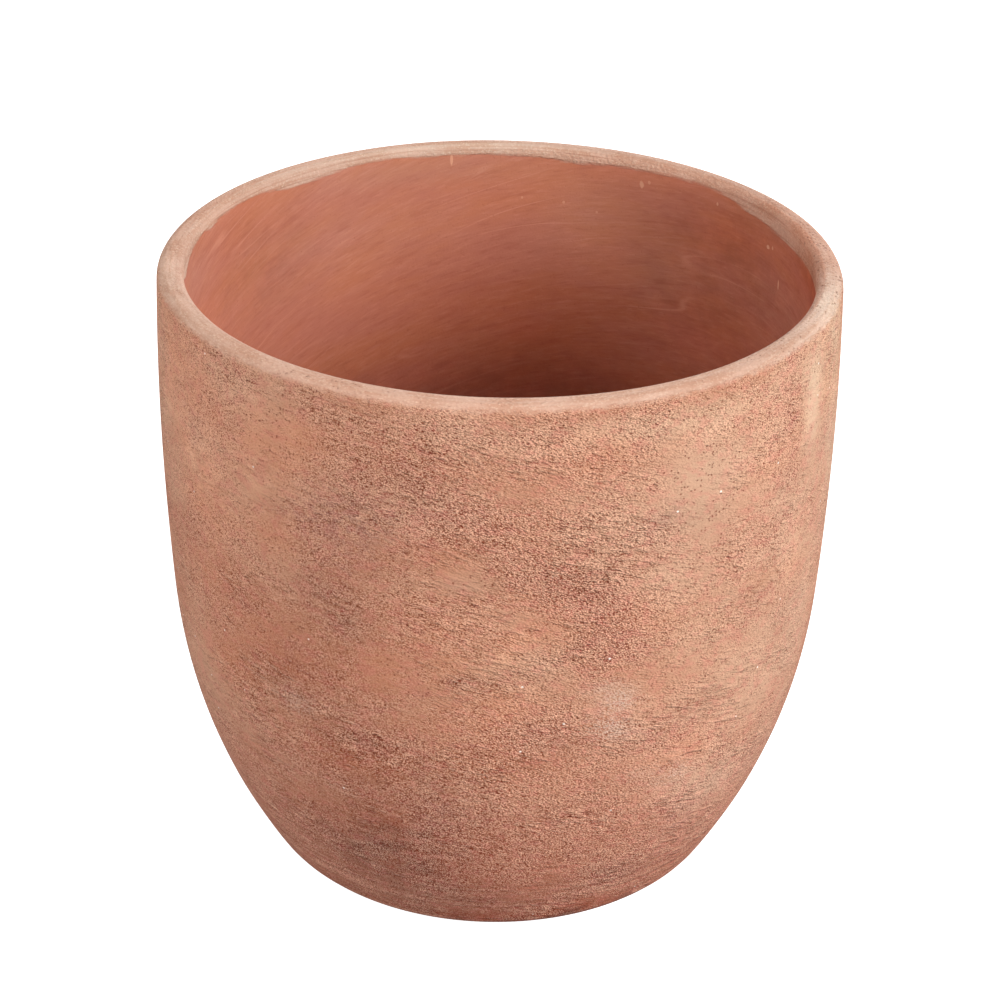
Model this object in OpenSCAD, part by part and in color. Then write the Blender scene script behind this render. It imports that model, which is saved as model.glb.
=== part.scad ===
// Rounded terracotta planter: one piece of fired clay, turned about its own axis.
// The origin is on the ground at the centre of the foot, with +Z up. All sizes are in millimetres.

/* [Body] */
// Height from the ground to the top of the lip
pot_h = 284; // [250:1:330]
// Outside diameter at the widest level
body_d = 300; // [270:1:340]
// Height of the widest level above the ground
widest_h = 216; // [190:1:240]
// Radius of the nearly straight side above and below the widest level
side_r = 1460; // [900:10:2600]
// Height at which the side runs into the rounded belly
belly_top_h = 133; // [110:1:155]
// Radius of the rounded belly, which also sets how wide the foot is
belly_r = 276; // [220:1:340]
// Rounding of the heel between the belly and the foot
heel_r = 17; // [8:1:26]

/* [Wall] */
// Thickness of the wall
wall_t = 11.5; // [9.5:0.5:15]
// Height of the inside floor above the ground
floor_h = 15; // [12:0.5:20]
// Rounding between the inside wall and the floor
cove_r = 30; // [14:1:45]

/* [Lip] */
// Rounding of the lip's outer edge
lip_outer_r = 5; // [1:0.5:5]
// Rounding of the lip's inner edge
lip_inner_r = 4; // [1:0.5:4]

/* [Base] */
// Width of the ring that stands on the ground
foot_ring_w = 18; // [10:1:30]
// Depth of the hollow inside the foot ring
foot_hollow = 3; // [1:0.5:5]
// Diameter of the drain hole
drain_d = 26; // [14:1:40]
// Width of the bevel where the floor runs into the drain hole
drain_bevel = 3; // [1:0.5:5]

/* [Hidden] */

clay = [0.80, 0.56, 0.44];
curve_fn = 240;  // facets of a full circle where the curves are drawn as a mesh
beyond = 2;      // how far a cut runs past the surface that it opens
far = body_d;    // a distance from the axis that is outside the pot everywhere

// Centre, at height z, of a circle of radius r that touches a big circle from the inside.
// A negative r gives one that touches it from the outside.
function nested(big_centre, big_r, r, z) =
    [big_centre.x + sqrt(pow(big_r - r, 2) - pow(z - big_centre.y, 2)), z];

// A line from the axis of the pot, through two centres, to just past the arc of radius r around
// the second one, and level from there.
function across(p, q, r) =
    let (slope = (q.y - p.y) / (q.x - p.x), past = q + (r + beyond) * (q - p) / norm(q - p))
    [[0, p.y - slope * p.x], past, [far, past.y]];

// A level line at height z, as long as the lines above.
function level(z) = [[0, z], [far, z]];

// A list of points in the other order.
function reversed(points) = [for (i = [len(points) - 1 : -1 : 0]) points[i]];

// The outside is a chain of arcs: heel, belly, side and lip. Where two of them meet, both
// centres are on one line, so the arcs are tangent there.
side_centre = [body_d / 2 - side_r, widest_h];
belly_bearing = asin((belly_top_h - widest_h) / side_r);
belly_centre = side_centre + (side_r - belly_r) * [cos(belly_bearing), sin(belly_bearing)];
heel_centre = nested(belly_centre, belly_r, heel_r, heel_r);
lip_outer_centre = nested(side_centre, side_r, lip_outer_r, pot_h - lip_outer_r);

// The inside keeps the centres of the side and the belly, one wall thickness further in.
inner_side_r = side_r - wall_t;
inner_belly_r = belly_r - wall_t;
cove_centre = nested(belly_centre, inner_belly_r, cove_r, floor_h + cove_r);
lip_inner_centre = nested(side_centre, inner_side_r, -lip_inner_r, pot_h - lip_inner_r);

heel_line = across(belly_centre, heel_centre, heel_r);
cove_line = across(belly_centre, cove_centre, cove_r);
belly_line = across(side_centre, belly_centre, belly_r);
lip_outer_line = across(side_centre, lip_outer_centre, lip_outer_r);
lip_inner_line = across(side_centre, lip_inner_centre, 0);

hollow_r = heel_centre.x - foot_ring_w;

// A disc. Its centre is reached in two steps, because a single step keeps only six digits of it
// and the arcs would then miss each other slightly.
module disc(centre, r) {
    near = [for (c = centre) round(c * 100) / 100];
    translate(near) translate(centre - near) circle(r, $fn = curve_fn);
}

// What lies between two lines, the lower one first.
module between(lower, upper) {
    intersection() {
        polygon(concat(lower, reversed(upper)));
        union() children();
    }
}

// Half section of the pot as if it were solid clay.
module outside_section() {
    between(level(0), heel_line) {
        square([heel_centre.x, pot_h]);
        disc(heel_centre, heel_r);
    }
    between(heel_line, belly_line) disc(belly_centre, belly_r);
    between(belly_line, lip_outer_line) disc(side_centre, side_r);
    between(lip_outer_line, level(pot_h)) {
        square([lip_outer_centre.x, pot_h]);
        disc(lip_outer_centre, lip_outer_r);
    }
}

// Half section of the space inside, open at the top, where the lip rolls over into it.
module inside_section() {
    between(level(floor_h), cove_line) {
        square([cove_centre.x, pot_h]);
        disc(cove_centre, cove_r);
    }
    between(cove_line, belly_line) disc(belly_centre, inner_belly_r);
    between(belly_line, lip_inner_line) disc(side_centre, inner_side_r);
    between(lip_inner_line, level(pot_h + beyond)) difference() {
        square([lip_inner_centre.x, pot_h + beyond]);
        disc(lip_inner_centre, lip_inner_r);
    }
}

// Half section of what is cut from the floor: the drain hole, its bevel and the foot's hollow.
module drain_section() {
    polygon([
        [0, -beyond],
        [hollow_r, -beyond],
        [hollow_r, 0],
        [hollow_r - foot_hollow, foot_hollow],
        [drain_d / 2, foot_hollow],
        [drain_d / 2, floor_h - drain_bevel],
        [drain_d / 2 + drain_bevel, floor_h],
        [drain_d / 2 + drain_bevel, floor_h + beyond],
        [0, floor_h + beyond],
    ]);
}

module pot() {
    color(clay)
    rotate_extrude($fn = curve_fn)
    difference() {
        union() outside_section();
        inside_section();
        drain_section();
    }
}

pot();
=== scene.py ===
# Round terracotta planter: sandy slip outside, smooth slip on the lip, brushed clay inside.
import math
import bpy
import numpy as np
from mathutils import Matrix, Vector


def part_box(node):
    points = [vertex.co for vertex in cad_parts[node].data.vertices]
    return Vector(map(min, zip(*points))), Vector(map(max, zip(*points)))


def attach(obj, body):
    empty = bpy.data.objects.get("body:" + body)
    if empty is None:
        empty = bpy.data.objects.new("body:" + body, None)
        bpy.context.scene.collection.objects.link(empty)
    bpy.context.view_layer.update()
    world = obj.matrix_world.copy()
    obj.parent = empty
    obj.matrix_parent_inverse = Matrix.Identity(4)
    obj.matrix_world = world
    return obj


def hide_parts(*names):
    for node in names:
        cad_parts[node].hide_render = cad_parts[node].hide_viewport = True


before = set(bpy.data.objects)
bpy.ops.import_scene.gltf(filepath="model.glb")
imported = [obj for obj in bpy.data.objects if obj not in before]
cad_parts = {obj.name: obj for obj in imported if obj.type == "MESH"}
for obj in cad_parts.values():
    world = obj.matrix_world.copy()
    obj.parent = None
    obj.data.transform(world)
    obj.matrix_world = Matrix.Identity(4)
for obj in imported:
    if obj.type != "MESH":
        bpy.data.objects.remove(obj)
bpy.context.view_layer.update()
scene = bpy.context.scene
scene.view_settings.view_transform = "Standard"
potLow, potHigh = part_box("pot")
print("planter: frame loaded")

photoCamera = {
    "distance": 1.1,     # metres from the middle of the mouth
    "elevation": 22.83,  # degrees above the mouth
    "pitch": 28.37,
    "yaw": 0.08,
    "roll": 1.09,
    "lens": 90.49,       # millimetres, for a sensor 36 mm wide
}


def placeCamera(view, mouthHeight):
    elevation, pitch, yaw, roll = (
        math.radians(view[k]) for k in ("elevation", "pitch", "yaw", "roll"))
    forward = Vector((math.sin(yaw) * math.cos(pitch), math.cos(yaw) * math.cos(pitch), -math.sin(pitch)))
    right = forward.cross(Vector((0, 0, 1))).normalized()
    up = right.cross(forward)
    across = right * math.cos(roll) + up * math.sin(roll)
    upward = up * math.cos(roll) - right * math.sin(roll)
    camera = bpy.data.objects.new("photoCamera", bpy.data.cameras.new("photoCamera"))
    camera.data.lens = view["lens"]
    camera.data.sensor_width = 36
    camera.data.clip_end = 50
    turn = Matrix((across, upward, -forward)).transposed().to_4x4()
    camera.matrix_world = Matrix.Translation((
        0, -view["distance"] * math.cos(elevation),
        mouthHeight + view["distance"] * math.sin(elevation))) @ turn
    scene.collection.objects.link(camera)
    scene.camera = camera


placeCamera(photoCamera, potHigh.z)
print("planter: camera placed")

# The turned outline, in metres. Each arc is tangent to the next, as on the solid.
potShape = {
    "height": potHigh.z,
    "bodyRadius": 0.150,
    "widestHeight": 0.216,
    "sideRadius": 1.460,
    "bellyTop": 0.133,
    "bellyRadius": 0.276,
    "heelRadius": 0.017,
    "wall": 0.0115,
    "floorHeight": 0.015,
    "coveRadius": 0.030,
    "lipOuter": 0.005,
    "lipInner": 0.004,
    "footRing": 0.018,
    "footHollow": 0.003,
    "drainRadius": 0.013,
    "drainBevel": 0.003,
    "segments": 640,      # round the pot
    "wobble": 0.00035,    # how far the wall strays from round
    "rings": 0.00010,     # fine turning rings near the foot
    "rimDip": 0.0005,     # the rim sinks a little in front
    "rimTilt": 0.00025,
}


def arc(centre, radius, start, end, count):
    # points on an arc, both ends included, angles in radians
    t = np.linspace(start, end, count)
    return np.column_stack((centre[0] + radius * np.cos(t), centre[1] + radius * np.sin(t)))


def straight(start, end, count):
    t = np.linspace(0, 1, count)[:, None]
    return np.array(start) * (1 - t) + np.array(end) * t


def bearing(a, b):
    return math.atan2(b[1] - a[1], b[0] - a[0])


def nested(centre, radius, inner, height):
    # centre of a circle that touches a bigger one from inside
    return (centre[0] + math.sqrt((radius - inner) ** 2 - (height - centre[1]) ** 2), height)


def potOutline(s):
    # one closed loop: underside, heel, belly, side, lip, inside, floor, drain hole
    side = (s["bodyRadius"] - s["sideRadius"], s["widestHeight"])
    turn = math.asin((s["bellyTop"] - s["widestHeight"]) / s["sideRadius"])
    reach = s["sideRadius"] - s["bellyRadius"]
    belly = (side[0] + reach * math.cos(turn), side[1] + reach * math.sin(turn))
    heel = nested(belly, s["bellyRadius"], s["heelRadius"], s["heelRadius"])
    lipOut = nested(side, s["sideRadius"], s["lipOuter"], s["height"] - s["lipOuter"])
    innerSide, innerBelly = s["sideRadius"] - s["wall"], s["bellyRadius"] - s["wall"]
    cove = nested(belly, innerBelly, s["coveRadius"], s["floorHeight"] + s["coveRadius"])
    lipIn = nested(side, innerSide, -s["lipInner"], s["height"] - s["lipInner"])
    hollow = heel[0] - s["footRing"]
    drain, bevel, floor = s["drainRadius"], s["drainBevel"], s["floorHeight"]
    runs = [
        ("under", straight((drain, s["footHollow"]), (hollow - s["footHollow"], s["footHollow"]), 7)),
        ("under", straight((hollow, 0), (heel[0], 0), 4)),
        ("outside", arc(heel, s["heelRadius"], -math.pi / 2, bearing(belly, heel), 8)),
        ("outside", arc(belly, s["bellyRadius"], bearing(belly, heel), turn, 27)),
        ("outside", arc(side, s["sideRadius"], turn, bearing(side, lipOut), 30)),
        ("lip", arc(lipOut, s["lipOuter"], bearing(side, lipOut), math.pi / 2, 9)),
        ("lip", arc(lipIn, s["lipInner"], math.pi / 2, math.pi + bearing(side, lipIn), 8)),
        ("inside", arc(side, innerSide, bearing(side, lipIn), turn, 28)),
        ("inside", arc(belly, innerBelly, turn, bearing(belly, cove), 18)),
        ("inside", arc(cove, s["coveRadius"], bearing(belly, cove), -math.pi / 2, 8)),
        ("floor", straight((cove[0], floor), (drain + bevel, floor), 5)),
        ("drain", straight((drain, floor - bevel), (drain, s["footHollow"]), 3)),
    ]
    points, parts = [], []
    for part, run in runs:
        for p in run:
            if not points or math.dist(p, points[-1]) > 1e-7:
                points.append(tuple(p))
                parts.append(part)
    if math.dist(points[0], points[-1]) < 1e-7:
        points.pop()
        parts.pop()
    return np.array(points), parts


outline, outlineParts = potOutline(potShape)
steps = np.linalg.norm(np.diff(outline, axis=0, append=outline[:1]), axis=1)
along = np.concatenate(([0], np.cumsum(steps[:-1])))   # metres along the loop
loopLength = steps.sum()
# the lip is flat on top, and places along the outline are counted from the flat's inner end
lipTop = along[np.flatnonzero(np.isclose(outline[:, 1], potShape["height"]))[-1]]

# What the coat looks like where. Each patch is: angle round the pot, height, half width, half
# height, tilt, strength. Angles and widths are in degrees, heights in millimetres. The camera
# sees the angles from -165 to -15.
coatPatches = {
    # rough and gritty
    "coarse": [
        (-84, 209, 8, 9, -20, 1.0), (-76, 197, 6, 9, -35, 0.9), (-71, 176, 5, 14, -30, 0.9),
        (-93, 232, 9, 9, -10, 0.75), (-104, 251, 8, 8, 0, 0.8), (-98, 268, 20, 5, 0, 0.5),
        (-80, 235, 8, 10, 0, 0.5), (-70, 228, 7, 8, 0, 0.35), (-104, 232, 9, 7, 0, 0.5),
        (-103, 182, 10, 14, 0, 0.35), (-95, 157, 4, 4, 0, 0.8), (-82, 135, 7, 8, 0, 0.6),
        (-92, 100, 24, 26, 0, 0.55), (-66, 42, 6, 12, 0, 0.9), (-80, 60, 16, 14, 0, 0.6),
        (-68, 24, 9, 6, 0, 0.7), (-36.5, 262, 2.6, 22, 0, 0.7), (-120, 272, 9, 4, 0, 0.6),
        (-133, 274, 3, 4, 0, 0.8), (-60, 180, 5, 8, 0, 0.3), (-45, 205, 12, 12, 0, 0.2),
        (-108, 122, 8, 8, 0, 0.4), (-100, 118, 14, 9, 0, 0.4),
    ],
    # rubbed dark
    "stain": [
        (-85, 206, 7, 9, -20, 0.6), (-74, 193, 5, 10, -35, 0.7), (-70, 172, 5, 12, -35, 0.7),
        (-95, 236, 10, 12, 0, 0.35), (-104, 252, 8, 8, 0, 0.5), (-117, 194, 6, 12, 0, 0.7),
        (-117, 228, 6, 10, 20, 0.45), (-136, 168, 4, 4, 0, 0.8), (-123, 150, 7, 10, 0, 0.6),
        (-114, 176, 5, 6, 0, 0.4), (-95, 157, 3, 3, 0, 0.6), (-107, 128, 10, 8, 0, 0.45),
        (-82, 133, 6, 8, 0, 0.5), (-110, 52, 13, 22, 0, 1.1), (-101, 74, 7, 22, 10, 0.6),
        (-113, 92, 8, 10, 0, 0.4), (-88, 30, 22, 10, 0, 0.5), (-66, 40, 7, 12, 0, 0.4),
        (-50, 50, 8, 14, 0, 0.3), (-36.5, 250, 2.4, 30, 0, 0.45), (-24, 228, 5, 10, 0, 0.4),
        (-42, 172, 5, 9, 0, 0.4), (-150, 250, 6, 12, 0, 0.3), (-150, 186, 6, 8, 0, 0.35),
        (-140, 150, 8, 14, 0, 0.2), (-124, 95, 12, 8, 0, 0.3), (-60, 75, 14, 12, 0, 0.25),
    ],
    # smooth and pale
    "pale": [
        (-95, 205, 5, 5, 0, 0.9), (-128, 262, 8, 16, 0, 0.8), (-131, 225, 7, 20, 0, 0.6),
        (-59, 240, 7, 20, 0, 0.9), (-88, 190, 4, 6, 0, 0.5), (-63, 202, 5, 6, 0, 0.7),
        (-29, 250, 3.5, 30, 0, 0.9), (-71, 148, 5, 7, 0, 0.6), (-50, 225, 9, 14, 0, 0.5),
        (-40, 113, 7, 6, 25, 0.5), (-147, 120, 7, 24, 0, 0.6), (-58, 155, 10, 12, 0, 0.4),
        (-100, 150, 8, 7, 0, 0.25), (-46, 140, 10, 12, 0, 0.4),
    ],
    # a thin greyish film
    "haze": [
        (-113, 226, 9, 14, 15, 0.8), (-123, 222, 5, 6, 0, 0.4), (-63, 230, 3, 5, 0, 0.6),
        (-99, 90, 4, 7, 0, 0.8), (-54, 60, 5, 14, 0, 0.5), (-124, 131, 4, 3, 0, 0.6),
        (-35, 72, 6, 6, 0, 0.3), (-112, 206, 5, 5, 0, 0.4), (-125, 160, 5, 5, 0, 0.3),
        (-96, 205, 3, 3, 0, 0.3), (-62, 122, 7, 8, 0, 0.35),
    ],
    # chalky white
    "bloom": [
        (-71, 132, 3.5, 5, -20, 1.0), (-69, 145, 3, 5, -10, 0.9), (-57, 96, 4, 7, 0, 0.7),
        (-64, 103, 5, 3, 0, 0.4), (-124, 130, 3, 3, 0, 0.6), (-72, 152, 3, 3, 0, 0.4),
    ],
    # lighter above 0 and darker below, as shares of the brightness. Partly the coat's own tone and partly
    # painted light and shade: the lighter left edge and lip top, the darker foot.
    "shade": [
        (-147, 236, 8, 38, 0, 0.13), (-172, 255, 8, 35, 0, 0.10), (-141, 206, 6, 18, 0, 0.07),
        (-127, 260, 9, 14, 0, 0.08), (-127, 238, 7, 12, 0, 0.08), (-148, 270, 8, 10, 0, 0.05),
        (-110, 258, 12, 14, 0, -0.03), (-97, 251, 10, 9, 0, -0.03), (-75, 268, 12, 8, 0, 0.07),
        (-55, 268, 12, 9, 0, 0.06), (-42, 247, 8, 18, 0, 0.10), (-30, 262, 5, 20, 0, 0.05),
        (-20, 262, 6, 28, 0, 0.12), (-100, 190, 6, 9, 0, 0.06), (-92, 172, 12, 13, 0, 0.06),
        (-88, 143, 9, 13, 0, 0.05), (-92, 126, 8, 9, 0, 0.04), (-105, 160, 7, 10, 0, 0.05),
        (-133, 158, 8, 10, 0, 0.03), (-146, 165, 7, 12, 0, 0.05), (-114, 178, 4, 8, 0, -0.09),
        (-120, 194, 4, 8, 0, -0.05), (-57, 168, 9, 11, 0, 0.04), (-66, 183, 8, 9, 0, 0.07),
        (-33, 184, 4, 14, 0, 0.09), (-34, 152, 5, 12, 0, -0.07), (-57, 88, 7, 13, 0, 0.12),
        (-70, 134, 7, 11, 0, 0.06), (-50, 68, 7, 10, 0, 0.05), (-61, 222, 13, 10, 0, -0.05),
        (-82, 214, 9, 10, 0, -0.03), (-128, 137, 9, 8, 0, -0.10), (-117, 114, 6, 8, 0, -0.03),
        (-103, 112, 13, 14, 0, -0.07), (-82, 125, 9, 10, 0, -0.06), (-112, 50, 10, 16, 0, -0.12),
        (-124, 62, 7, 10, 0, -0.06), (-99, 28, 15, 12, 0, -0.06), (-110, 86, 8, 8, 0, -0.06),
        (-104, 70, 8, 7, 0, -0.05), (-106, 80, 4, 5, 0, 0.08), (-70, 6, 26, 8, 0, -0.20),
        (-66, 38, 8, 9, 0, -0.10), (-94, 157, 3, 3, 0, -0.10), (-150, 36, 10, 20, 0, 0.02),
        (-137, 242, 6, 14, 0, 0.03), (-108, 48, 20, 28, 0, -0.06), (-114, 118, 6, 12, 0, -0.04),
        (-30, 286, 24, 5, 0, -0.005), (-90, 286, 30, 5, 0, 0.035), (-150, 286, 14, 5, 0, -0.03),
        (40, 286, 28, 5, 0, -0.06), (130, 286, 26, 5, 0, 0.02), (-88, 180, 5, 14, 0, 0.04),
        (-88, 148, 4, 9, 0, 0.04), (-75, 209, 5, 6, 0, -0.04), (-92, 256, 12, 6, 0, -0.02),
        (-112, 232, 8, 10, 0, -0.02), (-103, 66, 9, 10, 0, -0.04), (-116, 116, 5, 6, 0, -0.04),
        (-78, 124, 6, 6, 0, -0.03), (-52, 106, 9, 9, 0, 0.07), (-42, 78, 8, 12, 0, 0.04),
        (-136, 278, 6, 6, 0, 0.04), (-158, 262, 6, 24, 0, 0.06), (-106, 64, 9, 12, 0, -0.04),
        (-100, 106, 8, 8, 0, -0.02), (-43, 76, 8, 12, 0, 0.03), (-92, 20, 18, 7, 0, -0.05),
        (-64, 38, 7, 7, 0, -0.05), (-84, 268, 22, 4, 0, 0.02), (-140, 264, 5, 10, 0, 0.04),
        (-64, 170, 5, 6, 0, -0.03), (-78, 208, 5, 5, 0, -0.03), (-100, 238, 14, 5, 0, -0.02),
        (-160, 256, 6, 20, 0, 0.05), (-97, 211, 6, 6, 0, 0.03), (-88, 178, 4, 12, 0, 0.03),
        (-89, 146, 3, 7, 0, 0.03), (-114, 67, 5, 6, 0, -0.04), (-102, 74, 6, 7, 0, -0.04),
        (-98, 100, 6, 7, 0, -0.03), (-52, 132, 5, 8, 0, -0.04), (-124, 104, 5, 6, 0, 0.03),
        (-60, 112, 7, 8, 0, 0.03), (-48, 58, 8, 10, 0, 0.03), (-12, 250, 6, 36, 0, 0.06),
        (-107, 56, 6, 7, 0, -0.03), (-64, 41, 6, 5, 0, -0.04), (-72, 3, 20, 5, 0, -0.08),
    ],
    # redder above 0 and greyer below
    "warmth": [
        (-52, 266, 28, 13, 0, -0.09), (-48, 246, 8, 12, 0, -0.06), (-22, 252, 14, 34, 0, -0.10),
        (-54, 168, 11, 11, 0, -0.10), (-34, 186, 5, 12, 0, -0.06), (-55, 86, 9, 14, 0, -0.08),
        (-66, 130, 7, 12, 0, -0.05), (-26, 100, 9, 60, 0, -0.05), (-88, 169, 16, 10, 0, -0.04),
        (-48, 182, 12, 10, 0, -0.05), (-150, 262, 8, 20, 0, -0.05), (-170, 260, 8, 30, 0, -0.05),
        (-116, 254, 22, 15, 0, 0.06), (-127, 210, 8, 14, 0, 0.09), (-134, 137, 11, 9, 0, 0.09),
        (-113, 108, 10, 9, 0, 0.07), (-99, 134, 10, 9, 0, 0.05), (-98, 112, 15, 12, 0, 0.04),
        (-84, 100, 14, 15, 0, 0.04), (-98, 62, 26, 26, 0, 0.05), (-112, 80, 9, 9, 0, 0.03),
        (-88, 42, 12, 10, 0, 0.03), (-78, 10, 30, 9, 0, 0.10), (-34, 146, 5, 10, 0, 0.04),
        (-46, 190, 24, 90, 0, -0.035), (-102, 46, 28, 28, 0, 0.03), (-76, 14, 22, 8, 0, 0.05),
        (-56, 88, 8, 14, 0, -0.03), (-88, 254, 28, 7, 0, 0.03), (-103, 116, 26, 10, 0, 0.035),
        (-128, 146, 14, 12, 0, 0.03), (-46, 88, 10, 26, 0, -0.04), (-66, 273, 18, 5, 0, -0.05),
        (-19, 256, 5, 30, 0, -0.07), (-78, 7, 16, 6, 0, 0.13), (-88, 160, 6, 12, 0, -0.03),
        (-100, 60, 10, 20, 0, 0.02), (-90, 236, 24, 8, 0, 0.02), (16, 286, 34, 5, 0, 0.045),
        (-50, 286, 16, 5, 0, 0.03), (-88, 254, 30, 9, 0, 0.02), (-112, 114, 26, 14, 0, 0.03),
        (-84, 120, 12, 10, 0, 0.02), (-44, 74, 9, 18, 0, -0.05), (-62, 274, 22, 5, 0, -0.03),
        (-138, 262, 5, 14, 0, -0.04), (-76, 5, 16, 6, 0, 0.06), (-100, 44, 14, 18, 0, 0.02),
        (-80, 176, 26, 9, 0, -0.02), (-17, 250, 4, 34, 0, -0.06), (-58, 272, 26, 6, 0, -0.04),
        (-143, 222, 6, 20, 0, -0.04), (-40, 250, 8, 14, 0, -0.05), (-88, 160, 10, 10, 0, -0.03),
        (-63, 184, 8, 10, 0, -0.02), (-46, 66, 8, 22, 0, -0.06), (-10, 240, 7, 50, 0, -0.08),
        (-105, 60, 8, 8, 0, 0.04), (-116, 108, 10, 10, 0, 0.03), (-142, 132, 6, 10, 0, 0.04),
        (-100, 98, 10, 8, 0, 0.02), (-66, 42, 8, 6, 0, 0.05), (-36, 222, 6, 14, 0, -0.06),
        (-138, 124, 8, 9, 0, 0.05), (-112, 267, 14, 9, 0, 0.04), (-155, 50, 10, 24, 0, -0.06),
    ],
    # the same two for the clay inside; its darker patches deep in the pot and on the right wall are
    # painted shade
    "shadeInside": [
        (90, 150, 200, 28, 0, -0.08), (36, 250, 24, 26, 0, -0.08), (48, 208, 20, 22, 0, -0.05),
        (18, 277, 22, 7, 0, -0.05), (70, 232, 8, 16, 0, 0.03), (145, 240, 14, 26, 0, -0.06),
        (12, 283, 12, 4, 0, 0.06), (0, 268, 8, 8, 0, -0.05), (90, 190, 18, 14, 0, 0.02),
        (62, 286, 12, 5, 0, -0.04), (92, 286, 14, 5, 0, 0.03), (72, 234, 16, 24, 0, 0.02),
        (111, 168, 12, 12, 0, 0.03), (178, 279, 8, 4, 0, -0.05), (5, 272, 8, 14, 0, -0.05),
        (56, 279, 16, 5, 0, 0.07), (34, 277, 16, 5, 0, 0.03), (165, 286, 22, 4, 0, 0.03),
        (112, 286, 40, 5, 0, 0.03),
    ],
    "warmthInside": [
        (75, 165, 60, 26, 0, 0.07), (40, 212, 24, 24, 0, 0.06), (88, 202, 24, 22, 0, 0.05),
        (10, 262, 18, 18, 0, 0.05), (125, 246, 22, 22, 0, -0.05), (40, 255, 12, 14, 0, 0.05),
        (57, 226, 7, 18, 0, -0.05), (120, 285, 36, 5, 0, -0.05), (92, 285, 16, 5, 0, -0.06),
        (98, 158, 26, 12, 0, 0.04), (111, 272, 26, 6, 0, -0.05), (172, 264, 10, 14, 0, -0.06),
        (74, 240, 8, 20, 0, -0.03), (4, 274, 14, 10, 0, 0.06), (20, 285, 26, 5, 0, 0.055),
        (40, 200, 16, 12, 0, 0.03), (34, 264, 12, 10, 0, 0.03), (0, 268, 10, 10, 0, 0.06),
        (111, 274, 26, 5, 0, -0.03), (70, 256, 10, 14, 0, -0.03), (84, 186, 6, 6, 0, 0.04),
    ],
    # where the lip has pits
    "pitted": [
        (0, 284, 16, 12, 0, 1.2), (-35, 284, 22, 12, 0, 0.7), (-115, 284, 24, 12, 0, 0.6),
        (-80, 284, 14, 12, 0, 0.2), (60, 284, 16, 12, 0, 0.15), (-165, 284, 14, 12, 0, 0.2),
    ],
    "hiddenSide": 46,    # patches of a kind strewn where the camera doesn't see
    "seed": 11,
}


# Patches strewn on the side away from the camera, like those in front: middle half width, half
# height and strength, and the share of coatPatches["hiddenSide"] that is of this kind.
hiddenPatches = {
    "coarse": (9, 11, 0.7, 1),
    "stain": (8, 11, 0.5, 1),
    "pale": (7, 12, 0.6, 0.6),
    "haze": (5, 7, 0.5, 0.3),
    "bloom": (3.5, 5, 0.6, 0.15),
    "shade": (10, 13, 0.08, 0.7),
    "warmth": (12, 14, 0.06, 0.5),
}


def strewnPatches(kind, random):
    width, height, strength, share = hiddenPatches[kind]
    made = []
    for _ in range(int(coatPatches["hiddenSide"] * share)):
        angle, level = random.uniform(-10, 190), random.uniform(15, 278)
        halfWidth, halfHeight = width * random.uniform(0.5, 1.5), height * random.uniform(0.5, 1.5)
        tilt = random.uniform(-30, 30)
        amount = strength * random.uniform(0.5, 1.3)
        if kind in ("shade", "warmth"):    # these two go either way
            amount *= random.choice((-1, 1))
        made.append((angle, level, halfWidth, halfHeight, tilt, amount))
    return made


def paintPatches(patches, angles, heights):
    # the sum of soft ellipses, one row for each height and one column for each angle
    degree = 2.5       # millimetres along the wall
    falloff = 0.9
    total = np.zeros((len(heights), len(angles)))
    for angle, height, halfWidth, halfHeight, tilt, strength in patches:
        x = ((angles - angle + 180) % 360 - 180)[None, :] * degree
        y = (heights * 1000 - height)[:, None]
        c, s = math.cos(math.radians(tilt)), math.sin(math.radians(tilt))
        u, v = (x * c + y * s) / (halfWidth * degree), (y * c - x * s) / halfHeight
        total += strength * np.exp(-(u * u + v * v) * falloff)
    return total


# How much further than clayEdges["lap"] the lip's slip runs down inside: angle round the pot,
# millimetres.
lipLap = [
    (-180, 7.5), (-174, 3.0), (-150, 0.5), (-120, 2.0), (-90, 0.4), (-60, 2.6), (-30, 1.0),
    (-8, 6.0), (0, 6.5), (10, 5.8), (20, 5.3), (26, 4.4), (30, 3.4), (35, 2.6), (40, 0.4),
    (46, -1.4), (55, -1.4), (65, 0.8), (75, 1.7), (81, 0.2), (90, -0.7), (104, -0.2), (112, -1.2),
    (120, -0.7), (128, 1.2), (137, 2.2), (141, 0.0), (150, -1.2), (160, -0.4), (163, 1.6),
    (166, -0.5), (173, 1.6), (177, 4.0), (180, 7.5),
]


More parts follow.
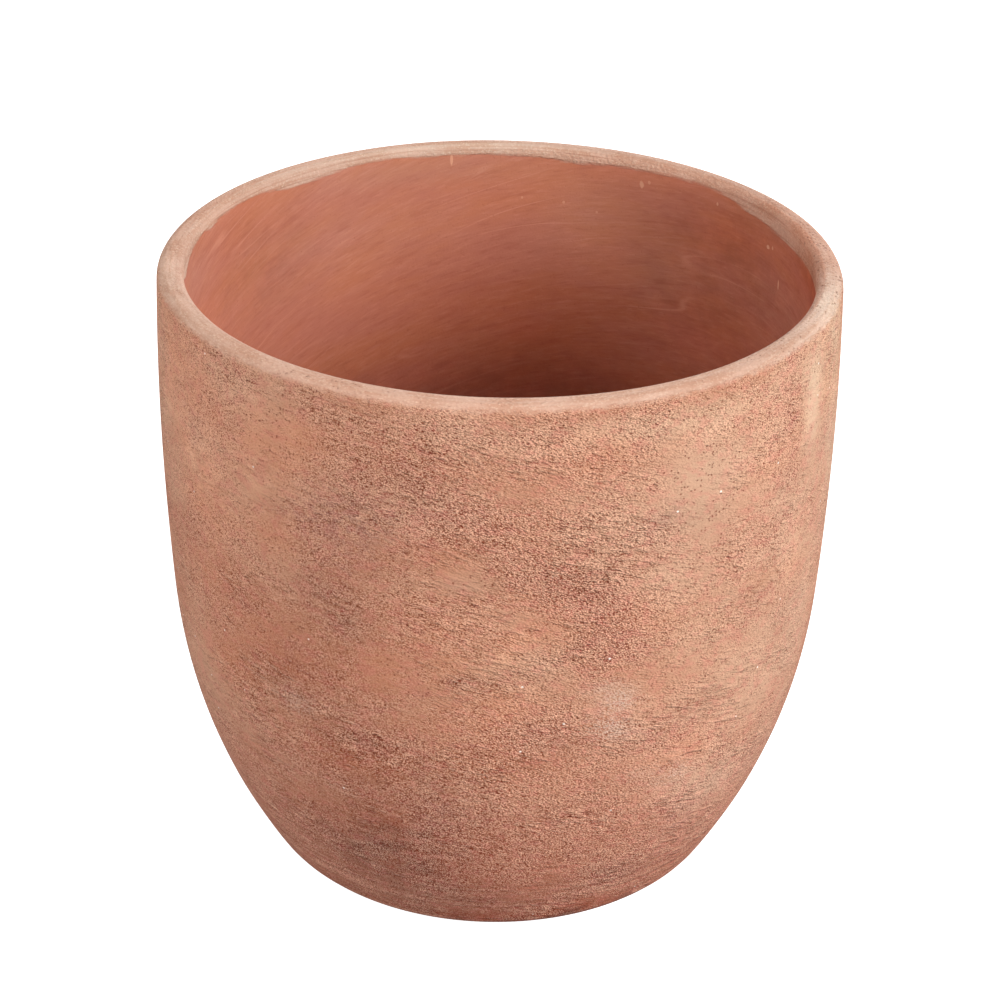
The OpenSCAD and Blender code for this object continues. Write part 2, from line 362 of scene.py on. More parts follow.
def buildPot(shape):
    count = shape["segments"]
    angles = np.degrees(np.arange(count) * 2 * math.pi / count) - 180
    turn = np.radians(angles)
    r, z = outline[:, 0][:, None], outline[:, 1][:, None]
    height = z / shape["height"]
    # a hand-made body strays a little from round, most at mid height and least at the foot
    stray = shape["wobble"] * np.clip(height * 1.4, 0, 1) * (
        0.9 * np.cos(2 * turn - 0.6) + 0.6 * np.cos(3 * turn + 1.1 + 2 * height)
        + 0.35 * np.cos(5 * turn - 2.2 + 5 * height) + 0.2 * np.cos(9 * turn + 9 * height))
    rings = np.sin(height * 55 + 0.7 * np.sin(turn)) * np.clip(1 - 3.5 * height, 0, 1)
    isWall = np.array([p in ("outside", "lip", "inside") for p in outlineParts])[:, None]
    radius = r + (stray + shape["rings"] * rings) * isWall * np.clip(r / 0.09 - 0.3, 0, 1)
    dip = shape["rimDip"] * np.exp(-((angles + 70) / 30) ** 2)
    lift = (shape["rimTilt"] * np.cos(2 * turn + 2.4) - dip) * np.clip((height - 0.8) * 5, 0, 1)
    xyz = np.stack((radius * np.cos(turn), radius * np.sin(turn), z + lift + 0 * turn), axis=-1)
    rows = len(outline)
    index = np.arange(rows * count).reshape(rows, count)
    nextRow, nextColumn = np.roll(index, -1, axis=0), np.roll(index, -1, axis=1)
    corner = np.roll(nextRow, -1, axis=1)
    faces = np.stack((index, nextColumn, corner, nextRow), axis=-1).reshape(-1, 4)
    mesh = bpy.data.meshes.new("terracottaPot")
    mesh.from_pydata(xyz.reshape(-1, 3).tolist(), [], faces.tolist())
    mesh.polygons.foreach_set("use_smooth", np.ones(len(faces), bool))
    # one flat strip: round the pot is left to right, along the outline is bottom to top
    u0 = np.broadcast_to(np.arange(count) / count, (rows, count))
    u1 = u0 + 1 / count
    v0 = np.broadcast_to((along / loopLength)[:, None], (rows, count))
    v1 = np.broadcast_to((np.append(along[1:], loopLength) / loopLength)[:, None], (rows, count))
    uv = np.stack((u0, v0, u1, v0, u1, v1, u0, v1), axis=-1).reshape(-1)
    mesh.uv_layers.new(name="OFBake").data.foreach_set("uv", uv.astype(np.float32))

    def store(name, values):
        everywhere = np.broadcast_to(values, (rows, count)).reshape(-1).astype(np.float32)
        mesh.attributes.new(name, "FLOAT", "POINT").data.foreach_set("value", everywhere)

    def painted(patches):
        return paintPatches(patches, angles, outline[:, 1])

    random = np.random.default_rng(coatPatches["seed"])
    store("along", (along - lipTop)[:, None])      # 0 on top of the lip, below 0 outside
    within = (along > lipTop)[:, None]
    for kind in hiddenPatches:
        outer = painted(coatPatches[kind] + strewnPatches(kind, random))
        store(kind, np.where(within, painted(coatPatches.get(kind + "Inside", [])), outer))
    store("lap", np.interp(angles, *zip(*lipLap))[None, :] / 1000)
    store("pitted", painted(coatPatches["pitted"]))
    mesh.validate()
    mesh.update()
    pot = bpy.data.objects.new("terracottaPot", mesh)
    scene.collection.objects.link(pot)
    return pot


pot = buildPot(potShape)
print("planter: pot turned,", len(pot.data.polygons), "faces")


# Small helpers for shader trees: each returns the output socket of the node that it adds.
def feed(tree, socket, value):
    if isinstance(value, bpy.types.NodeSocket):
        tree.links.new(value, socket)
    elif value is not None:
        socket.default_value = value


def maths(tree, operation, a, b=None, c=None, clamp=False):
    node = tree.nodes.new("ShaderNodeMath")
    node.operation = operation
    node.use_clamp = clamp
    for socket, value in zip(node.inputs, (a, b, c)):
        feed(tree, socket, value)
    return node.outputs[0]


def vectorMaths(tree, operation, a, b=None, out=0):
    node = tree.nodes.new("ShaderNodeVectorMath")
    node.operation = operation
    feed(tree, node.inputs[0], a)
    feed(tree, node.inputs[1], b)
    return node.outputs[out]


def scaled(tree, vector, factor):
    node = tree.nodes.new("ShaderNodeVectorMath")
    node.operation = "SCALE"
    feed(tree, node.inputs[0], vector)
    feed(tree, node.inputs["Scale"], factor)
    return node.outputs[0]


def ramp(tree, value, low, high, toLow=0.0, toHigh=1.0, smooth=True):
    node = tree.nodes.new("ShaderNodeMapRange")
    node.interpolation_type = "SMOOTHSTEP" if smooth else "LINEAR"
    feed(tree, node.inputs["Value"], value)
    feed(tree, node.inputs["From Min"], low)
    feed(tree, node.inputs["From Max"], high)
    feed(tree, node.inputs["To Min"], toLow)
    feed(tree, node.inputs["To Max"], toHigh)
    return node.outputs["Result"]


def masked(tree, mask, *others):
    # masks multiplied, each product kept within 0 to 1
    for other in others:
        mask = maths(tree, "MULTIPLY", mask, other, clamp=True)
    return mask


def paint(tree, tone, pigment, *masks):
    # lays a colour over another where all of the masks are
    node = tree.nodes.new("ShaderNodeMix")
    node.data_type = "RGBA"
    node.clamp_factor = True
    feed(tree, node.inputs["Factor"], masked(tree, *masks))
    feed(tree, node.inputs[6], tone)       # 6 and 7 are the colour sockets A and B
    feed(tree, node.inputs[7], pigment)
    return node.outputs[2]


def mixOf(tree, terms, start=0.5, clamp=False):
    # start plus each (value, weight), the values counted from 0.5
    total = start
    for value, weight in terms:
        total = maths(tree, "MULTIPLY_ADD", maths(tree, "SUBTRACT", value, 0.5), weight, total)
    total.node.use_clamp = clamp
    return total


def creases(tree, noise, width):
    # 1 on the lines where the noise crosses its middle value
    away = maths(tree, "ABSOLUTE", maths(tree, "SUBTRACT", noise, 0.5))
    return ramp(tree, away, width, 0.0)


def attribute(tree, name):
    node = tree.nodes.new("ShaderNodeAttribute")
    node.attribute_name = name
    return node.outputs["Fac"]


def colour(red, green, blue):
    # a colour as a picture program names it, 0 to 255, made linear for the shader
    def linear(c):
        c /= 255
        return c / 12.92 if c <= 0.04045 else ((c + 0.055) / 1.055) ** 2.4
    return (linear(red), linear(green), linear(blue), 1.0)


def newGroup(name, inputs, outputs):
    # inputs are (name, value) pairs, and a socket is a colour where its name says so
    group = bpy.data.node_groups.new(name, "ShaderNodeTree")

    def addSocket(label, way):
        kind = "NodeSocketColor" if "Colour" in label else "NodeSocketFloat"
        return group.interface.new_socket(label, in_out=way, socket_type=kind)

    for label, value in inputs:
        addSocket(label, "INPUT").default_value = value
    for label in outputs:
        addSocket(label, "OUTPUT")
    return group, group.nodes.new("NodeGroupInput").outputs, group.nodes.new("NodeGroupOutput").inputs


def placed(tree, group, **values):
    node = tree.nodes.new("ShaderNodeGroup")
    node.node_tree = group
    for name, value in values.items():
        feed(tree, node.inputs[name], value)
    return node.outputs


clayGrid = {
    "radius": 0.14,                      # metres, where the lumps per metre hold
    "swayAcross": (-0.819, -0.574, 0),   # strokes tilt from one side of the pot to the other
}


def clayPlace(tree, given):
    # a point of the pot laid out round the pot and along its outline, counted in lumps of clay
    place = tree.nodes.new("ShaderNodeTexCoord").outputs["Object"]
    outward = vectorMaths(tree, "NORMALIZE", vectorMaths(tree, "MULTIPLY", place, (1, 1, 0)))
    ring = tree.nodes.new("ShaderNodeSeparateXYZ")
    feed(tree, ring.inputs[0], scaled(tree, outward, clayGrid["radius"]))
    tilt = vectorMaths(tree, "DOT_PRODUCT", outward, clayGrid["swayAcross"], out=1)
    swayed = maths(tree, "MULTIPLY_ADD", tilt, given["Sway"], attribute(tree, "along"))
    spot = tree.nodes.new("ShaderNodeCombineXYZ")
    sources = ((ring.outputs[0], "Round"), (ring.outputs[1], "Round"), (swayed, "Up"))
    for socket, (source, density) in zip(spot.inputs, sources):
        feed(tree, socket, maths(tree, "MULTIPLY_ADD", source, given[density], given["Shift"]))
    return spot.outputs[0]


def drawnNoiseGroup():
    # noise with so many lumps per metre round the pot and along its outline, mostly 0.3 to 0.7
    group, given, out = newGroup("drawnNoise", (
        ("Round", 100), ("Up", 100), ("Shift", 0), ("Sway", 0),
        ("Detail", 2), ("Rough", 0.5)), ("Value",))
    noise = group.nodes.new("ShaderNodeTexNoise")
    feed(group, noise.inputs["Vector"], clayPlace(group, given))
    noise.inputs["Scale"].default_value = 1.0
    feed(group, noise.inputs["Detail"], given["Detail"])
    feed(group, noise.inputs["Roughness"], given["Rough"])
    feed(group, out["Value"], noise.outputs[0])
    return group


def clayCells(group, given):
    cells = group.nodes.new("ShaderNodeTexVoronoi")
    feed(group, cells.inputs["Vector"], clayPlace(group, given))
    cells.inputs["Scale"].default_value = 1.0
    return cells.outputs


def packedGrainsGroup():
    # grains side by side, 1 at the top of a grain and down to 0 in the creases
    group, given, out = newGroup("packedGrains", (
        ("Round", 900), ("Up", 1200), ("Shift", 0), ("Sway", 0)), ("Value",))
    cells = clayCells(group, given)
    feed(group, out["Value"], ramp(group, cells["Distance"], 0.95, 0.15, smooth=False))
    return group


def strewnGrainsGroup():
    # single round grains in a share of the cells, 1 inside a grain
    group, given, out = newGroup("strewnGrains", (
        ("Round", 300), ("Up", 300), ("Shift", 0), ("Sway", 0),
        ("Size", 0.2), ("Share", 0.02)), ("Mask",))
    cells = clayCells(group, given)
    chance = group.nodes.new("ShaderNodeSeparateColor")
    feed(group, chance.inputs[0], cells["Color"])
    core = maths(group, "MULTIPLY", given["Size"], 0.6)
    grain = ramp(group, cells["Distance"], given["Size"], core)
    chosen = maths(group, "LESS_THAN", chance.outputs[0], given["Share"])
    feed(group, out["Mask"], masked(group, grain, chosen))
    return group


drawnNoise = drawnNoiseGroup()
packedGrains = packedGrainsGroup()
strewnGrains = strewnGrainsGroup()


def drawn(tree, around, up, detail=2.0, rough=0.5, shift=0.0, sway=0.0):
    return placed(tree, drawnNoise, Round=around, Up=up, Detail=detail, Rough=rough,
                  Shift=shift, Sway=sway)[0]


def packed(tree, around, up, shift=0.0, sway=0.0):
    return placed(tree, packedGrains, Round=around, Up=up, Shift=shift, Sway=sway)[0]


def strewn(tree, density, shift, size, share):
    return placed(tree, strewnGrains, Round=density, Up=density, Shift=shift, Size=size, Share=share)[0]


def layersOf(tree, finish):
    # the noise layers of a finish, by name
    return {name: drawn(tree, *numbers) for name, numbers in finish["layers"].items()}


# A noise layer is: lumps per metre round the pot, lumps per metre along the outline, detail,
# roughness, shift, sway. Packed grains have no detail or roughness.
patchShadeAndTone = {
    "torn": (60, 80, 4, 0.65, 27.3),     # noise that breaks up the light and dark patches
    "tornSpan": (0.9, 3.5),              # their strength, from the least to the most
    "warmth": (0.0, -2.2, -3.1),         # what warmth does to red, green and blue
}


def shadedAndTonedGroup(s):
    # a colour made lighter or darker, redder or greyer, where the pot's patches say so: the pot's own
    # tone, with painted light and shade in the lighter and darker patches
    group, given, out = newGroup("shadedAndToned", (("Colour", (0.5, 0.5, 0.5, 1)),), ("Colour",))
    torn = ramp(group, drawn(group, *s["torn"]), 0.35, 0.65, *s["tornSpan"], smooth=False)
    light = maths(group, "MULTIPLY_ADD", attribute(group, "shade"), torn, 1.0)
    redder = group.nodes.new("ShaderNodeCombineXYZ")
    for socket, share in zip(redder.inputs, s["warmth"]):
        feed(group, socket, maths(group, "MULTIPLY_ADD", attribute(group, "warmth"), share, 1.0))
    lit = scaled(group, given["Colour"], light)
    feed(group, out["Colour"], vectorMaths(group, "MULTIPLY", lit, redder.outputs[0]))
    return group


shadedAndToned = shadedAndTonedGroup(patchShadeAndTone)

sandCoat = {
    "peach": colour(194, 151, 123),      # smooth slip
    "clay": colour(178, 118, 89),        # the coat's middle tone
    "paintedGrainHighlight": colour(236, 183, 155),      # painted highlight on the tops of the grains
    "hollow": colour(120, 40, 14),       # painted shade between the grains, also laid in the pits
    "rose": colour(202, 116, 106),       # faint pink clouds
    "stain": colour(150, 86, 70),        # dark rubbed patches
    "haze": colour(152, 102, 93),
    "bloom": colour(206, 180, 164),
    "speck": colour(240, 226, 216),      # grains of quartz
    "paintedFootShade": colour(154, 86, 64),      # painted shade towards the foot, darker and redder
    "relief": 0.0018,                    # metres from hollow to crest
    # spans in metres along the outline from the top of the lip
    "lowSpan": (-0.285, -0.12),
    "footSpan": (-0.295, -0.19),
    "wrinkleSpan": (-0.10, -0.15),
    "packedGrain": (1500, 2200, 0.0, -0.04),
    "layers": {
        "dust": (880, 1500, 0, 0.5, 21.3, -0.04),
        "lumps": (560, 860, 0, 0.5, 3.1, -0.03),
        "ripple": (120, 560, 1, 0.5, 7.7, -0.05),
        "combed": (330, 1350, 0, 0.5, 30.7, -0.04),
        "brushed": (26, 42, 2, 0.6, 15.2),
        "wrinkles": (26, 105, 1, 0.5, 41.3, -0.03),
        "tint": (110, 190, 2, 0.6, 17.4),
        "lines": (6, 420, 1, 0.5, 1.9),
        "mottle": (30, 38, 4, 0.65, 5.3),
        "drift": (9, 13, 3, 0.6, 9.1),
        "drag": (85, 640, 1, 0.5, 52.1, -0.045),
        "marbling": (190, 270, 3, 0.7, 48.3),
        "blush": (170, 240, 2, 0.6, 44.7),
        "pitRows": (16, 190, 2, 0.6, 33.1, 0.09),
    },
    # single ones: cells per metre, shift, size as a share of a cell
    "pits": (760, 12.1, 0.38),
    "specks": (300, 2.7, 0.18),
}


def sandCoatGroup(s):
    # the brushed, gritty coat of the outside: its colour and its height
    group, _, out = newGroup("sandCoat", (), ("Colour", "Height"))
    n = layersOf(group, s)
    grain = packed(group, *s["packedGrain"])
    along = attribute(group, "along")
    low = ramp(group, along, *s["lowSpan"], 1.0, 0.0)      # 1 near the foot
    foot = ramp(group, along, *s["footSpan"], 1.0, 0.0)
    # how coarse the coat is here
    coarse = maths(group, "MULTIPLY_ADD", attribute(group, "coarse"), 0.5, 0.55)
    coarse = maths(group, "MULTIPLY_ADD", attribute(group, "pale"), -0.40, coarse)
    coarse = mixOf(group, ((n["mottle"], 1.5), (n["tint"], 0.6)), coarse, clamp=True)
    depth = ramp(group, coarse, 0.0, 1.0, 0.12, 1.0, smooth=False)
    # strokes of the brush, each faded where the coat doesn't show it
    brushed = ramp(group, n["brushed"], 0.42, 0.62)
    ripple = mixOf(group, ((n["ripple"], brushed),))
    combed = mixOf(group, ((n["combed"], ramp(group, brushed, 0, 1, 0.35, 1.0)),))
    drag = mixOf(group, ((n["drag"], ramp(group, coarse, 0.9, 0.2, 0.3, 1.0)),))
    lines = mixOf(group, ((n["lines"], foot),))
    # long thin wrinkles where the brush dragged, mostly below the middle
    wrinkle = masked(group, creases(group, n["wrinkles"], 0.028), brushed,
                     ramp(group, along, *s["wrinkleSpan"]))
    relief = mixOf(group, ((grain, 0.1), (n["dust"], 0.9), (n["lumps"], 0.3), (combed, 0.5)), 0.0)
    relief = maths(group, "MULTIPLY", relief, depth)
    furrows = mixOf(group, ((ripple, 1.4), (drag, 0.6)), 0.0)
    relief = maths(group, "MULTIPLY_ADD", furrows, ramp(group, coarse, 0.0, 0.8, 0.34, 0.9), relief)
    relief = mixOf(group, ((lines, 1.8),), relief)
    relief = maths(group, "MULTIPLY_ADD", wrinkle, 0.30, relief)
    # colour: middle tone, rubbed and hazy patches, then a painted highlight on the crests and painted
    # shade in the hollows
    tone = paint(group, s["clay"], s["peach"], ramp(group, n["drift"], 0.3, 0.7))
    tone = paint(group, tone, s["peach"], attribute(group, "pale"), 0.8)
    # painted shade, darker towards the foot
    tone = paint(group, tone, s["paintedFootShade"], low, 0.75)
    ragged = mixOf(group, ((n["mottle"], 1.0), (n["tint"], 1.0), (n["lumps"], 0.6)))
    ragged = ramp(group, ragged, 0.35, 0.68, 0.15, 1.4)
    tone = paint(group, tone, s["stain"], attribute(group, "stain"), ragged, 0.7)
    marbled = ramp(group, n["marbling"], 0.42, 0.58, 0.05, 0.75)
    tone = paint(group, tone, s["haze"], attribute(group, "haze"), marbled)
    # painted light and shade, and the coat's own tone, from the pot's patches
    tone = placed(group, shadedAndToned, Colour=tone)[0]
    height = mixOf(group, ((grain, 0.9), (n["dust"], 0.3), (ripple, 0.55), (combed, 0.35),
                           (drag, 0.40), (lines, 0.55)))
    height = maths(group, "MULTIPLY_ADD", wrinkle, 0.14, height)
    bolder = maths(group, "MULTIPLY_ADD", low, 0.25, 1.0)      # the coat is more uneven towards the foot, and its painted highlights and shade are stronger there
    # painted highlight on the grain tops, then painted shade between the grains
    tone = paint(group, tone, s["paintedGrainHighlight"], ramp(group, height, 0.45, 0.85),
                 ramp(group, coarse, 0.0, 1.0, 0.05, 0.9), bolder)
    tone = paint(group, tone, s["hollow"], ramp(group, height, 0.5, 0.1),
                 ramp(group, coarse, 0.0, 1.0, 0.14, 1.0), bolder)
    tone = paint(group, tone, s["rose"], ramp(group, n["blush"], 0.46, 0.68, 0.0, 0.24))
    # single pits, in slanting rows, dented and painted with the hollows' painted shade
    pit = strewn(group, *s["pits"], ramp(group, n["pitRows"], 0.44, 0.64, 0.05, 0.36))
    tone = paint(group, tone, s["hollow"], pit, 0.6)
    relief = maths(group, "MULTIPLY_ADD", pit, -0.3, relief)
    chalky = ramp(group, mixOf(group, ((grain, 1.0), (n["mottle"], 1.0))), 0.4, 0.7)
    tone = paint(group, tone, s["bloom"], attribute(group, "bloom"), chalky)
    specks = strewn(group, *s["specks"], ramp(group, n["mottle"], 0.4, 0.62, 0.006, 0.04))
    tone = paint(group, tone, s["speck"], specks)
    feed(group, out["Colour"], tone)
    feed(group, out["Height"], maths(group, "ADD", relief, 0.5))
    return group


innerClay = {
    "colour": colour(185, 115, 94),
    "light": colour(200, 132, 107),
    "dark": colour(164, 92, 71),
    "orange": colour(188, 116, 86),
    "splash": colour(214, 158, 128),
    "relief": 0.0003,
    "layers": {
        "strokes": (36, 230, 3, 0.6, 2.2, -0.045),
        "hairs": (130, 800, 2, 0.6, 4.4, -0.045),
        "cloud": (14, 40, 4, 0.6, 6.6, -0.035),
        "grit": (900, 900, 1, 0.5, 8.8),
        "arcs": (7, 62, 1, 0.4, 51.7, -0.06),
        "arcPlaces": (18, 50, 1, 0.5, 61.3),
    },
    "splashEdge": (500, 300, 1, 0.5, 3.7),     # the noise that frays a splash
    # drips and splashes of slip: angle round the pot, millimetres below the rim along the clay,
    # half width in degrees, half length in millimetres, strength
    "splashes": [
        (100.5, 9.5, 0.28, 3.4, 0.9), (61.0, 14.5, 0.5, 2.2, 0.8), (59.3, 12.6, 0.3, 0.9, 0.6),
        (42.7, 12.8, 0.3, 1.0, 0.7), (27.0, 21.5, 0.5, 1.0, 0.8), (25.4, 20.6, 0.3, 0.9, 0.6),
        (22.5, 36.0, 0.25, 2.6, 0.9), (86.0, 29.0, 0.25, 0.7, 0.5), (77.5, 30.0, 0.3, 0.8, 0.6),
        (70.5, 33.0, 0.3, 0.8, 0.5), (-40, 30, 0.5, 2.0, 0.7), (-75, 14, 0.3, 4.0, 0.8),
        (-120, 22, 0.4, 1.4, 0.7),
    ],
}


def splashGroup(s):
    # 1 inside one long drop of slip, with a soft edge
    group, given, out = newGroup("splash", (
        ("Angle", 90), ("Below", 20), ("HalfWidth", 0.5), ("HalfLength", 2), ("Strength", 1)), ("Mask",))
    parts = group.nodes.new("ShaderNodeSeparateXYZ")
    feed(group, parts.inputs[0], group.nodes.new("ShaderNodeTexCoord").outputs["Object"])
    angle = maths(group, "DEGREES", maths(group, "ARCTAN2", parts.outputs[1], parts.outputs[0]))
    across = maths(group, "DIVIDE", maths(group, "SUBTRACT", angle, given["Angle"]), given["HalfWidth"])
    below = maths(group, "MULTIPLY", attribute(group, "along"), 1000)
    down = maths(group, "DIVIDE", maths(group, "SUBTRACT", below, given["Below"]), given["HalfLength"])
    far = maths(group, "MULTIPLY_ADD", across, across, maths(group, "MULTIPLY", down, down))
    jitter = maths(group, "SUBTRACT", drawn(group, *s["splashEdge"]), 0.5)
    far = maths(group, "MULTIPLY_ADD", jitter, 1.6, far)
    feed(group, out["Mask"], masked(group, ramp(group, far, 1.3, 0.5), given["Strength"]))
    return group


def innerClayGroup(s):
    # bare clay inside, drawn round with a wet brush
    group, _, out = newGroup("innerClay", (), ("Colour", "Height"))
    n = layersOf(group, s)
    arcs = masked(group, creases(group, n["arcs"], 0.016), ramp(group, n["arcPlaces"], 0.4, 0.7))
    tone = paint(group, s["colour"], s["orange"], ramp(group, n["cloud"], 0.35, 0.68))
    tone = paint(group, tone, s["light"], ramp(group, n["strokes"], 0.5, 0.78), 0.4)
    tone = paint(group, tone, s["dark"], ramp(group, n["strokes"], 0.48, 0.25), 0.4)
    tone = paint(group, tone, s["light"], ramp(group, n["hairs"], 0.5, 0.75), 0.45)
    tone = paint(group, tone, s["dark"], ramp(group, n["hairs"], 0.45, 0.25), 0.35)
    tone = paint(group, tone, s["light"], arcs, 0.9)
    tone = paint(group, tone, s["dark"], ramp(group, n["grit"], 0.36, 0.2), 0.4)
    # painted shade deep inside, and the clay's own tone, from the pot's patches
    tone = placed(group, shadedAndToned, Colour=tone)[0]
    drop = splashGroup(s)
    for angle, below, halfWidth, halfLength, strength in s["splashes"]:
        mask = placed(group, drop, Angle=angle, Below=below, HalfWidth=halfWidth,
                      HalfLength=halfLength, Strength=strength)[0]
        tone = paint(group, tone, s["splash"], mask)
    feed(group, out["Colour"], tone)
    feed(group, out["Height"], mixOf(group, ((n["hairs"], 0.3), (n["strokes"], 0.5), (n["grit"], 0.3))))
    return group


lipSlip = {
    "colour": colour(203, 163, 142),
    "streak": colour(191, 145, 121),
    "grain": colour(214, 181, 158),
    "worn": colour(160, 108, 84),
    "pit": colour(128, 78, 54),
    "relief": 0.0009,
    "wornSpan": (0.001, 0.005),
    "packedGrain": (900, 1200, 5.9),
    "layers": {
        "streaks": (45, 620, 2, 0.6, 3.3),
        "cloud": (60, 110, 3, 0.6, 7.3),
        "dust": (560, 760, 1, 0.5, 14.6),
        "gathered": (110, 150, 2, 0.6, 22.4),
        "thin": (14, 900, 2, 0.55, 27.6),
    },
}


def lipSlipGroup(s):
    # the smooth slip on the lip
    group, _, out = newGroup("lipSlip", (), ("Colour", "Height"))
    n = layersOf(group, s)
    grain = packed(group, *s["packedGrain"])
    streaky = ramp(group, mixOf(group, ((n["streaks"], 0.7), (n["cloud"], 0.8))), 0.35, 0.7)
    tone = paint(group, s["colour"], s["streak"], streaky)
    grainy = ramp(group, mixOf(group, ((grain, 0.6), (n["dust"], 0.8))), 0.5, 0.95, 0.0, 0.7)
    tone = paint(group, tone, s["grain"], grainy)
    worn = ramp(group, attribute(group, "along"), *s["wornSpan"])
    tone = paint(group, tone, s["worn"], ramp(group, n["thin"], 0.5, 0.68), worn, 0.45)
    pit = mixOf(group, ((n["dust"], 1.0), (grain, 0.5), (n["gathered"], 0.6)))
    pit = masked(group, ramp(group, pit, 0.30, 0.05), attribute(group, "pitted"))
    tone = paint(group, tone, s["pit"], pit, 0.9)
    # painted light and shade on the lip, and its own tone, from the pot's patches
    tone = placed(group, shadedAndToned, Colour=tone)[0]
    height = mixOf(group, ((n["streaks"], 0.4), (n["dust"], 0.7)))
    feed(group, out["Colour"], tone)
    feed(group, out["Height"], maths(group, "MULTIPLY_ADD", pit, -0.5, height))
    return group


# Where one finish gives way to the next, in metres along the outline from the top of the lip.
clayEdges = {
    "lap": 0.0072,             # the lip's slip ends here inside, moved by lipLap
    "lapSoft": 0.0010,
    "lip": -0.0078,            # the lip's slip ends here outside
    "lipSoft": 0.0018,
    "underside": (-0.298, -0.304),
    "ragged": (260, 700, 3, 0.65, 12.5),     # noise layers that fray both edges and the inner one
    "wiped": (34, 420, 3, 0.55, 9.9),
}
clayShine = {
    "Roughness": 0.86,
    "Diffuse Roughness": 0.4,
    "Specular IOR Level": 0.25,
}


def firedClay(edges, shine):
    # the pot's one material: the coat, the lip's slip and the bare clay, each behind a ragged edge
    material = bpy.data.materials.new("slippedTerracotta")
    material.use_nodes = True
    tree = material.node_tree
    shader = tree.nodes["Principled BSDF"]
    coat = placed(tree, sandCoatGroup(sandCoat))
    inner = placed(tree, innerClayGroup(innerClay))
    lip = placed(tree, lipSlipGroup(lipSlip))
    along = attribute(tree, "along")
    rag = maths(tree, "SUBTRACT", drawn(tree, *edges["ragged"]), 0.5)
    wiped = maths(tree, "SUBTRACT", drawn(tree, *edges["wiped"]), 0.5)
    lapEdge = maths(tree, "SUBTRACT", along, attribute(tree, "lap"))
    lapEdge = maths(tree, "SUBTRACT", lapEdge, edges["lap"])
    lapEdge = maths(tree, "MULTIPLY_ADD", rag, 0.0018, lapEdge)
    lapEdge = maths(tree, "MULTIPLY_ADD", wiped, 0.005, lapEdge)
    bare = ramp(tree, lapEdge, -edges["lapSoft"], edges["lapSoft"])
    lipEdge = maths(tree, "MULTIPLY_ADD", rag, 0.005, maths(tree, "SUBTRACT", along, edges["lip"]))
    onLip = ramp(tree, lipEdge, -edges["lipSoft"], edges["lipSoft"])
    underside = ramp(tree, along, *edges["underside"])
    tone = paint(tree, coat["Colour"], lip["Colour"], onLip)
    tone = paint(tree, tone, inner["Colour"], bare)
    tone = paint(tree, tone, inner["Colour"], underside)
    coatHeight = maths(tree, "MULTIPLY", coat["Height"], sandCoat["relief"])
    lipHeight = maths(tree, "MULTIPLY", lip["Height"], lipSlip["relief"])
    innerHeight = maths(tree, "MULTIPLY", inner["Height"], innerClay["relief"])
    height = maths(tree, "SUBTRACT", lipHeight, coatHeight)
    height = maths(tree, "MULTIPLY_ADD", height, onLip, coatHeight)
    height = maths(tree, "MULTIPLY_ADD", maths(tree, "SUBTRACT", innerHeight, height), bare, height)
    bump = tree.nodes.new("ShaderNodeBump")
    bump.inputs["Distance"].default_value = 1.0
    feed(tree, bump.inputs["Height"], height)
    feed(tree, shader.inputs["Normal"], bump.outputs[0])
    feed(tree, shader.inputs["Base Color"], tone)
    for name, value in shine.items():
        shader.inputs[name].default_value = value
    return material


pot.data.materials.append(firedClay(clayEdges, clayShine))
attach(pot, "root")
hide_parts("pot")
print("planter: clay and slips done")

studio = {
    "floor": colour(190, 190, 190),
    "floorSize": 24.0,
    "floorGlow": 1.0,                    # what the table adds from below, for the camera only
    "potShadow": (0.05, 0.08),           # metres from the middle where the glow sets in
    "target": (0, 0, 0.2),
    # angle round the pot, degrees above it, metres away, metres across, watts
    "lights": {
        "keyLight": (-30, 28, 2.4, 1.4, 65.5),
        "frontFill": (-105, 12, 2.4, 1.4, 16),
        "leftFill": (-165, 35, 2.4, 1.4, 24.5),
        "leftLow": (-165, 12, 2.4, 1.4, 11.2),
        "highFill": (-67, 42, 2.4, 1.4, 10.5),
        "backLight": (80, 9, 2.4, 0.9, 50),
    },
}


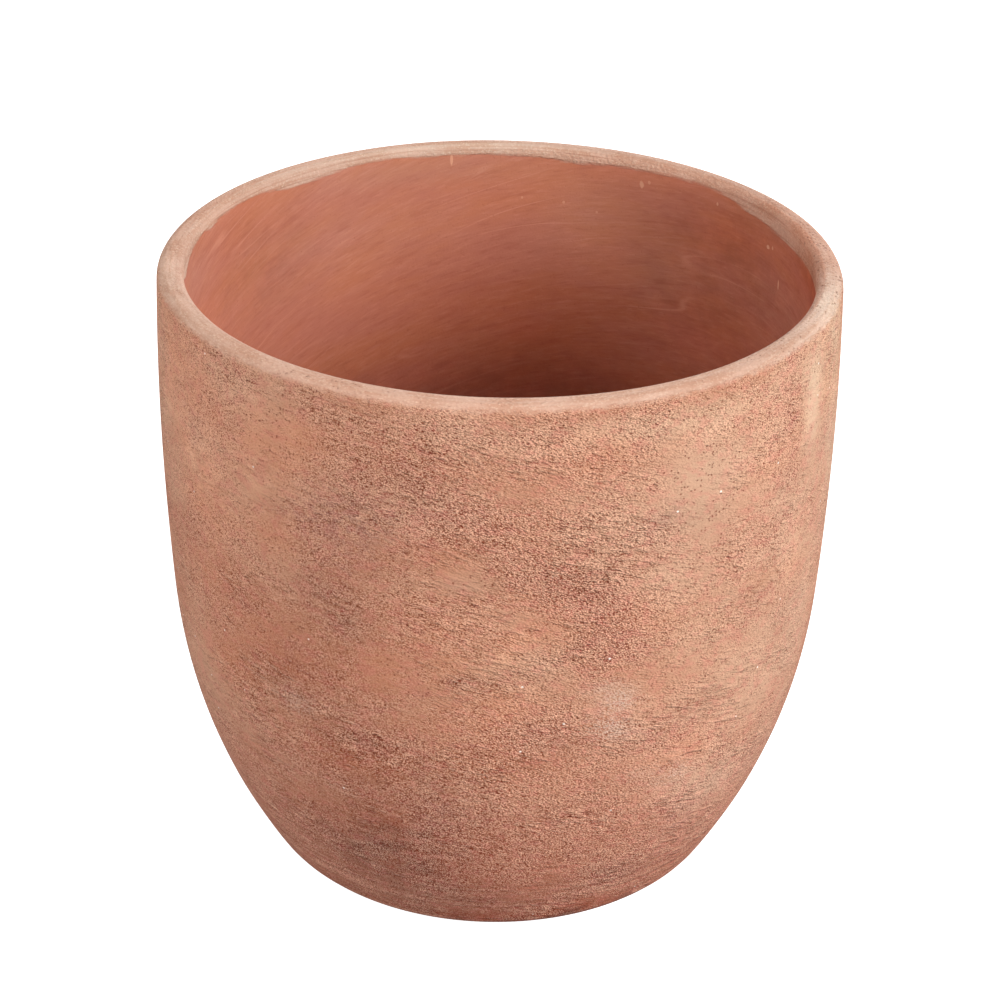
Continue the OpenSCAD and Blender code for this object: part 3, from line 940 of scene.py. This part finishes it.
def softLight(name, target, angle, rise, away, size, watts):
    lamp = bpy.data.objects.new(name, bpy.data.lights.new(name, "AREA"))
    lamp.data.shape = "DISK"
    lamp.data.size = size
    lamp.data.energy = watts
    angle, rise = math.radians(angle), math.radians(rise)
    outward = Vector((math.cos(rise) * math.cos(angle), math.cos(rise) * math.sin(angle), math.sin(rise)))
    lamp.location = Vector(target) + outward * away
    lamp.rotation_euler = outward.to_track_quat("Z", "Y").to_euler()
    lamp.visible_camera = False
    scene.collection.objects.link(lamp)


def seenByCamera(tree):
    return tree.nodes.new("ShaderNodeLightPath").outputs["Is Camera Ray"]


def buildFloor(s):
    mesh = bpy.data.meshes.new("studioFloor")
    half = s["floorSize"] / 2
    corners = [(-half, -half, 0), (half, -half, 0), (half, half, 0), (-half, half, 0)]
    mesh.from_pydata(corners, [], [(0, 1, 2, 3)])
    floor = bpy.data.objects.new("studioFloor", mesh)
    scene.collection.objects.link(floor)
    paintwork = bpy.data.materials.new("lightTable")
    paintwork.use_nodes = True
    tree = paintwork.node_tree
    shader = tree.nodes["Principled BSDF"]
    shader.inputs["Base Color"].default_value = s["floor"]
    shader.inputs["Roughness"].default_value = 0.9
    shader.inputs["Emission Color"].default_value = (1, 1, 1, 1)
    # under the pot the table stays dark, as seen through the drain hole
    place = tree.nodes.new("ShaderNodeTexCoord").outputs["Object"]
    away = vectorMaths(tree, "LENGTH", place, out=1)
    beside = ramp(tree, away, *s["potShadow"], 0.0, s["floorGlow"])
    feed(tree, shader.inputs["Emission Strength"], maths(tree, "MULTIPLY", seenByCamera(tree), beside))
    mesh.materials.append(paintwork)


def buildWorld():
    world = bpy.data.worlds.new("studio")
    scene.world = world
    world.use_nodes = True
    background = world.node_tree.nodes["Background"]
    background.inputs["Color"].default_value = (1, 1, 1, 1)
    feed(world.node_tree, background.inputs["Strength"], seenByCamera(world.node_tree))


buildFloor(studio)
buildWorld()
for lightName, numbers in studio["lights"].items():
    softLight(lightName, studio["target"], *numbers)
print("planter: studio lit")
